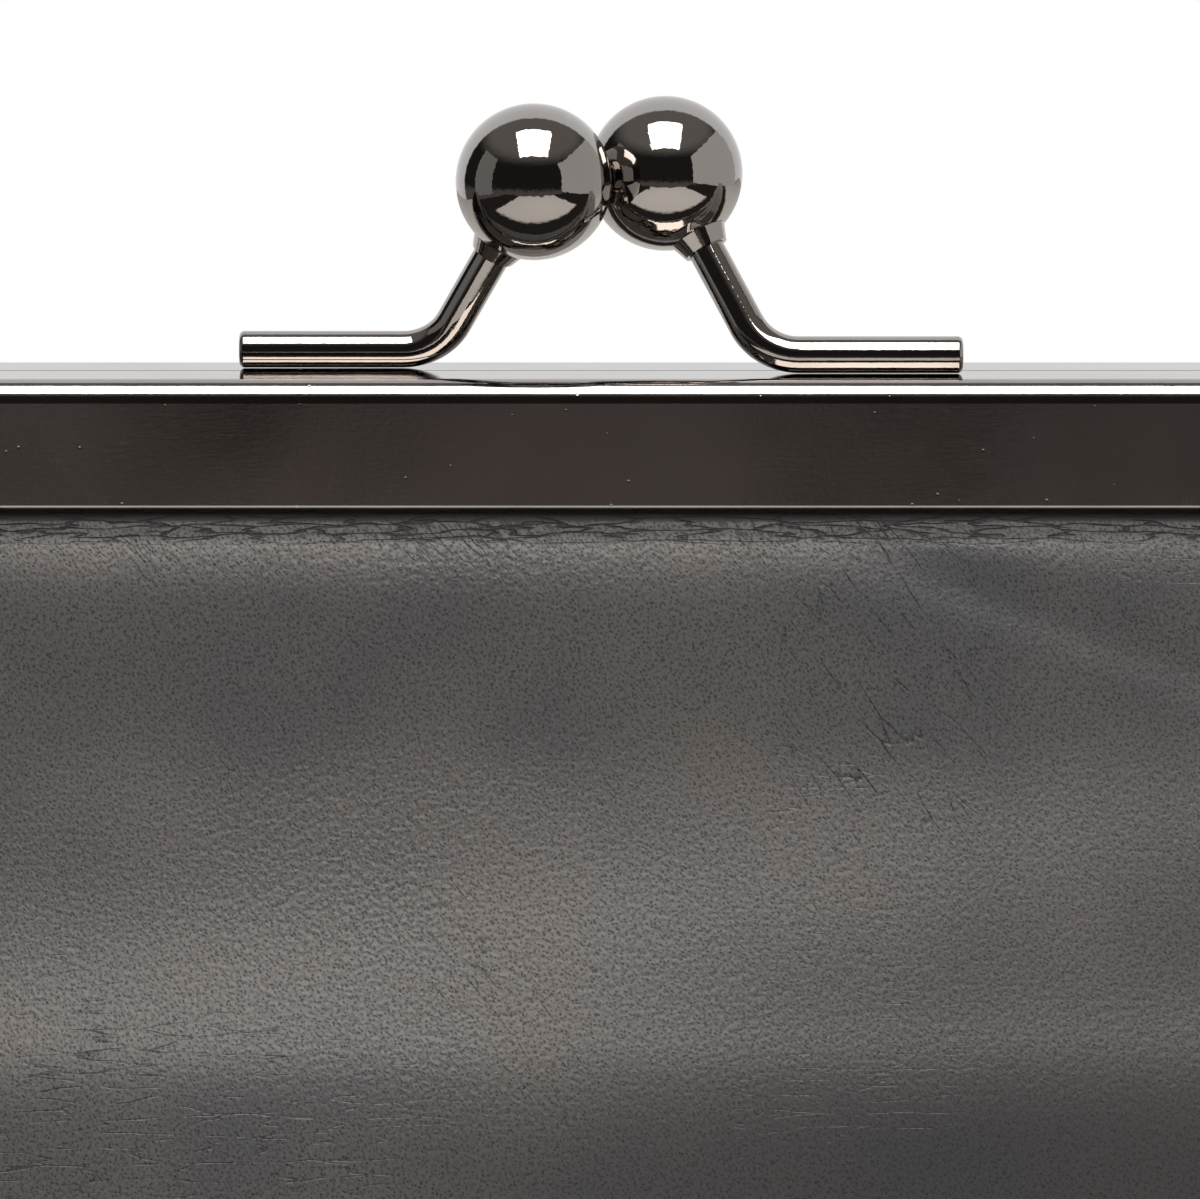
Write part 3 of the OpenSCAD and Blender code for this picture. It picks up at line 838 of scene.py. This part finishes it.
def moved_inwards(place, col, row, across, up, depth):
    """A front panel's points moved in along its own normals."""
    order = np.lexsort((col, row))
    grid = place[order].reshape(up + 1, across + 1, 3)
    normal = np.cross(np.gradient(grid, axis=1), np.gradient(grid, axis=0))
    normal /= np.maximum(np.linalg.norm(normal, axis=2, keepdims=True), 1e-9)
    out = np.zeros_like(place)
    out[order] = (grid - depth * normal).reshape(-1, 3)
    return out


def mark_bite(obj):
    """Store how near each point is to the frame's edge, for the leather's finish."""
    co = points(obj) / MM
    near = np.clip(NEAR - below_opening(co[:, 0], co[:, 2]), 0, NEAR)
    mark = obj.data.attributes.new("near_frame", "FLOAT", "POINT")
    mark.data.foreach_set("value", near.astype(np.float32))


front_leather = panel("front_leather_panel", -1, FRONT_SEED, PANEL_COLS, PANEL_ROWS, leather)
rear_leather = panel("rear_leather_panel", 1, REAR_SEED, PANEL_COLS, PANEL_ROWS, leather)
mark_bite(front_leather)
mark_bite(rear_leather)

# %% [markdown]
# ## One whole panel
# A real panel is clamped in its frame half above the hinge and stays with the pouch below it, and it
# bends between them. It could be cut in two at the hinge, but the cut would gape when the purse opens.
# So each panel is kept whole, from the frame down to the base.

# %% Set the panels' points in place, and measure their angles about the hinge
FOLD_REACH = 17.0


def hang(obj):
    """Bake a sheet's place into its points and measure each point's angle about the hinge."""
    low, high = (HINGE_Z - FOLD_REACH) * MM, (HINGE_Z + FOLD_REACH) * MM
    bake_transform(obj)
    co = points(obj) / MM
    angle = np.arctan2(co[:, 2] - HINGE_Z, np.abs(co[:, 1]))


hang(front_leather)
hang(rear_leather)
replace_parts(front_leather, "front_leather_upper", "front_leather_lower")
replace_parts(rear_leather, "rear_leather_upper", "rear_leather_lower")

# %% [markdown]
# ## Gussets and bottom
# A gusset strip closes each side, and the bottom joins them. The strip follows the panels' seam down
# the side and round the lower corner. At its top it is folded inwards, so that the purse can gape. Its
# edges turn in as the panels' do, and the two rolls make the seam's groove. Each could be extruded along
# the seam, but one path made for both pieces makes sure that they meet.

# %% Shape the gussets
GUSSET_TOP = HINGE_Z - 5.0
GUSSET_FOLD = 5.5
GUSSET_SWELL = 0.35
GUSSET_SEED = 9.0
SEAM_GAP = 0.15
GUSSET_COLS = 36
GUSSET_ROWS = 70


def seam_path(share):
    """Place and turn on the seam's path, from the gusset's top (0) to the end of the corner (1)."""
    straight = GUSSET_TOP - POUCH_R
    run = share * (straight + POUCH_R * math.pi / 2)
    turn = np.clip((run - straight) / POUCH_R, 0, math.pi / 2)
    z = np.where(run < straight, GUSSET_TOP - run, POUCH_R * (1 - np.sin(turn)))
    x = seam_half(z) - POUCH_R * (1 - np.cos(turn))
    return x, z, turn


def gusset_place(col, row, cols, rows, side_in=0.0, base_in=0.0):
    """Places of the right gusset's points, moved in by one depth at the side and another at the base."""
    j = col - cols / 2 - ROLL_STEPS
    past = np.clip(np.abs(j) - cols / 2, 0, None) / ROLL_STEPS
    x, z, turn = seam_path(1 - row / rows)
    half = seam_depth(z) - SEAM_ROLL - SEAM_GAP - side_in
    sweep = past * math.pi / 2
    share = np.clip(np.abs(j) / (cols / 2), 0, 1)
    y = np.sign(j) * ((half - SEAM_ROLL) * share + SEAM_ROLL * np.sin(sweep))
    dip = GUSSET_FOLD * np.clip(z / RIM_Z, 0, 1) ** 1.3 * (1 - (np.abs(y) / half) ** 1.5)
    dip = dip + SEAM_ROLL * (1 - np.cos(sweep)) + mix(side_in, base_in, ease(turn / (math.pi / 2)))
    dip = dip + GUSSET_SWELL * ease(z / 20) * wander(y, z, 14, GUSSET_SEED)
    return np.stack([x - dip * np.cos(turn), y, z + dip * np.sin(turn)], axis=1)


def gusset(name, side):
    """One gusset: the right one where side is 1, the left one where it is -1."""
    across = GUSSET_COLS + 2 * ROLL_STEPS
    obj = new_grid(name, across, GUSSET_ROWS)
    col, row = grid_steps(obj, across, GUSSET_ROWS)
    place = gusset_place(col, row, GUSSET_COLS, GUSSET_ROWS)
    make_sheet(obj, place * (side, 1, 1), (col, row, across, GUSSET_ROWS), (side, 0, -0.5), leather)
    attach(obj, "pouch")
    return obj


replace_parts(gusset("right_gusset_leather", 1), "right_gusset")
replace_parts(gusset("left_gusset_leather", -1), "left_gusset")

# %% Shape the bottom
BOTTOM_COLS = 90
BOTTOM_ROWS = 20


def bottom_leather():
    """The base between the gussets, with its long edges turned up into the seams."""
    up = BOTTOM_ROWS + 2 * ROLL_STEPS
    obj = new_grid("bottom_leather", BOTTOM_COLS, up)
    col, row = grid_steps(obj, BOTTOM_COLS, up)
    j = row - up / 2
    sweep = np.clip(np.abs(j) - BOTTOM_ROWS / 2, 0, None) / ROLL_STEPS * math.pi / 2
    flat = (BASE_D - 2 * SEAM_ROLL - SEAM_GAP) * np.clip(np.abs(j) / (BOTTOM_ROWS / 2), 0, 1)
    x = (col / BOTTOM_COLS * 2 - 1) * (BASE_X - SEAM_GAP)
    y = np.sign(j) * (flat + SEAM_ROLL * np.sin(sweep))
    place = np.stack([x, y, SEAM_ROLL * (1 - np.cos(sweep))], axis=1)
    make_sheet(obj, place, (col, row, BOTTOM_COLS, up), (0, 0, -1), leather)
    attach(obj, "pouch")
    return obj


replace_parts(bottom_leather(), "bottom_panel")

# %% [markdown]
# ## Lining
# Inside, each leather panel is backed by its own lining, and one strip lines the gussets and runs over
# the board in the base. They could be the leather's own inner face, but a lining is a cloth of its own,
# with its own edge. They are the same shapes, moved inwards by the leather's thickness and a little
# slack, so the same formulas place them.

# %% Line the pouch
LINING_IN = LEATHER_T + 0.25
STRIP_IN = LINING_IN + 0.2
BOARD_T = 1.5
BOARD_TOP = LEATHER_T + BOARD_T + 0.5
LINING_COLS = 100
LINING_ROWS = 70
front_lining = panel("front_lining_panel", -1, FRONT_SEED, LINING_COLS, LINING_ROWS, lining, LINING_IN)
rear_lining = panel("rear_lining_panel", 1, REAR_SEED, LINING_COLS, LINING_ROWS, lining, LINING_IN)
hang(front_lining)
hang(rear_lining)
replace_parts(front_lining, "front_lining_upper", "front_lining_lower")
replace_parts(rear_lining, "rear_lining_upper", "rear_lining_lower")

# %% Line the gussets and the base
STRIP_COLS = 20
STRIP_SIDE_ROWS = 40
STRIP_BASE_ROWS = 40


def lining_strip():
    """One strip from the right gusset's top, over the base, to the left gusset's top."""
    cols, rows, base_rows = STRIP_COLS, STRIP_SIDE_ROWS, STRIP_BASE_ROWS
    across, up = cols + 2 * ROLL_STEPS, 2 * rows + base_rows
    obj = new_grid("gusset_lining_strip", across, up)
    col, row = grid_steps(obj, across, up)
    along = np.minimum(row, up - row)
    place = gusset_place(col, rows - np.clip(along, 0, rows), cols, rows, STRIP_IN, BOARD_TOP)
    side = np.where(row <= up / 2, 1, -1)
    x = np.where(along > rows, BASE_X * (1 - 2 * (row - rows) / base_rows), place[:, 0] * side)
    place = np.stack([x, place[:, 1], place[:, 2]], axis=1)
    make_sheet(obj, place, (col, row, across, up), (0, 0, -1), lining)
    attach(obj, "pouch")
    return obj


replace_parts(lining_strip(), "gusset_lining")

# %% [markdown]
# ## Table, light and background
# The metal shows what stands round it, so the studio is part of its look. An even white world would
# leave a mirror flat, so things are placed for it to show. A softbox hangs above and in front, and the
# metal sees the table pale in two stretches, before the purse and behind it. A grey card stands at the
# right and a lower, darker one at the left, the room in front is dark, and what lies behind is white.

# %% Lay the table
TABLE_LOW = Vector((-0.42, -0.49, -0.0002))
TABLE_HIGH = Vector((0.75, 0.9, -0.0002))
TABLE_PALE = (0.80, 0.80, 0.79, 1)
TABLE_UNLIT = (0.03, 0.027, 0.025, 1)
LIT_LEFT, LIT_RIGHT, LIT_FAR = -0.20, 0.27, -0.085
LIT_BEHIND = 0.11
SIDE_EDGE, FAR_EDGE, BACK_EDGE = 0.01, 0.02, 0.03
WHITE = (1, 1, 1, 1)
FADE_FROM, FADE_TO = 0.16, 0.38


def table():
    """Pale to the camera, fading to white; to the metal pale only where the softbox lights it."""
    middle = (TABLE_LOW + TABLE_HIGH) / 2
    bpy.ops.mesh.primitive_plane_add(size=1, location=middle)
    obj = bpy.context.object
    obj.name = "table"
    obj.scale = TABLE_HIGH - TABLE_LOW + Vector((0, 0, 1))
    bpy.ops.object.transform_apply(location=True, rotation=True, scale=True)
    f = Finish("table_white", Roughness=0.6, Base_Color=TABLE_PALE)
    here = f.node("TexCoord", out="Object")
    x, y = (f.node("SeparateXYZ", out=i, Vector=here) for i in range(2))
    away = (x * x + y * y) ** 0.5
    white = f.node("Emission", Color=WHITE, Strength=1.0)
    faded = f.node("LightPath", out="Is Camera Ray") * away.step(FADE_FROM, FADE_TO)
    between = (x - LIT_LEFT).step(0, SIDE_EDGE) * (LIT_RIGHT - x).step(0, SIDE_EDGE)
    lit = between * (LIT_FAR - y).step(0, FAR_EDGE) + (y - LIT_BEHIND).step(0, BACK_EDGE)
    unlit = f.node("LightPath", out="Is Glossy Ray") * (1 - lit)
    dark = f.node("Emission", Color=TABLE_UNLIT, Strength=1.0)
    shade = f.node("MixShader", _0=unlit, _1=Wire(f.tree, f.shader.outputs[0]), _2=dark)
    shade = f.node("MixShader", _0=faded, _1=shade, _2=white)
    f.tree.links.new(shade.socket, f.tree.nodes["Material Output"].inputs["Surface"])
    dress(obj, f)
    bpy.ops.object.select_all(action="DESELECT")
    print("table in metres:", [round(v, 2) for v in TABLE_HIGH.xy - TABLE_LOW.xy])


table()


# %% Hang the softbox
def softbox(name, where, aim_at, width, height, radiance, colour):
    """An area lamp that looks this bright: its power is radiance times pi times its area."""
    bpy.ops.object.light_add(type="AREA", location=where)
    lamp = bpy.context.object
    lamp.name = name
    lamp.data.shape = "RECTANGLE"
    lamp.data.size = width
    lamp.data.size_y = height
    lamp.data.energy = radiance * math.pi * width * height
    lamp.data.color = colour
    lamp.rotation_euler = (Vector(aim_at) - Vector(where)).to_track_quat("-Z", "Y").to_euler()
    bpy.ops.object.select_all(action="DESELECT")
    print(f"{name}: {lamp.data.energy:.1f} W")


LOCK = Vector((0, 0, 0.13))
KEY_UP = math.radians(66)
KEY_AWAY = 0.75
WARM = (1.0, 0.94, 0.87)
key_place = LOCK + Vector((0, -math.cos(KEY_UP), math.sin(KEY_UP))) * KEY_AWAY
softbox("softbox", key_place, LOCK, width=0.56, height=0.62, radiance=7.0, colour=WARM)


# %% Stand the cards at the sides
def card(name, x, near_y, far_y, top, grey):
    """An upright card at one side, that lights and reflects but that the camera doesn't see."""
    bpy.ops.mesh.primitive_plane_add(size=1, location=(x, (near_y + far_y) / 2, top / 2))
    obj = bpy.context.object
    obj.name = name
    obj.rotation_euler = (math.pi / 2, 0, math.pi / 2)
    obj.scale = (far_y - near_y, top, 1)
    bpy.ops.object.transform_apply(location=True, rotation=True, scale=True)
    f = Finish(name + "_grey", Roughness=1.0, Base_Color=(0, 0, 0, 1))
    f.set(Emission_Color=(grey, grey * 0.98, grey * 0.95, 1), Emission_Strength=1.0)
    dress(obj, f)
    obj.visible_camera = False
    obj.visible_shadow = False
    bpy.ops.object.select_all(action="DESELECT")
    print(f"{name}: {far_y - near_y:.2f} x {top:.2f} m")


card("right_card", 0.60, near_y=-0.67, far_y=0.45, top=0.60, grey=0.62)
card("left_card", -0.55, near_y=-0.28, far_y=0.05, top=0.50, grey=0.27)

# %% Light the room
BACKDROP = (0.95, 0.95, 0.96, 1)
CEILING = (0.22, 0.205, 0.19, 1)
DARK_ROOM = (0.022, 0.020, 0.019, 1)
ROOM_FLOOR = (0.135, 0.115, 0.110, 1)
FLOOR_TO_WALL = (-0.09, 0.01)
WALL_TO_CEILING = (0.45, 0.75)
ROOM_TO_BACKDROP = (0.37, 0.43)


def light_world():
    """White for the camera; for the metal, a backdrop behind, a ceiling, a dark room and its floor."""
    world = bpy.data.worlds.new("studio")
    bpy.context.scene.world = world
    world.use_nodes = True
    world.node_tree.nodes.clear()
    f = Nodes(world.node_tree)
    way = f.node("TexCoord", out="Generated")
    x, y, z = (f.node("SeparateXYZ", out=i, Vector=way) for i in range(3))
    clutter = f.noise(way, 20.0, 2.0)
    room = f.mix((z + 0.16 * clutter).step(*FLOOR_TO_WALL), ROOM_FLOOR, DARK_ROOM)
    room = f.mix(z.step(*WALL_TO_CEILING), room, CEILING)
    room = f.mix((y - x * x * 0.2).step(*ROOM_TO_BACKDROP), room, BACKDROP)
    colour = f.mix(f.node("LightPath", out="Is Camera Ray"), room, WHITE)
    shade = f.node("Background", Color=colour, Strength=1.0)
    output = f.tree.nodes.new("ShaderNodeOutputWorld")
    f.tree.links.new(shade.socket, output.inputs["Surface"])


light_world()
bpy.context.scene.view_settings.view_transform = "Standard"
print("nodes in the world:", len(bpy.context.scene.world.node_tree.nodes))
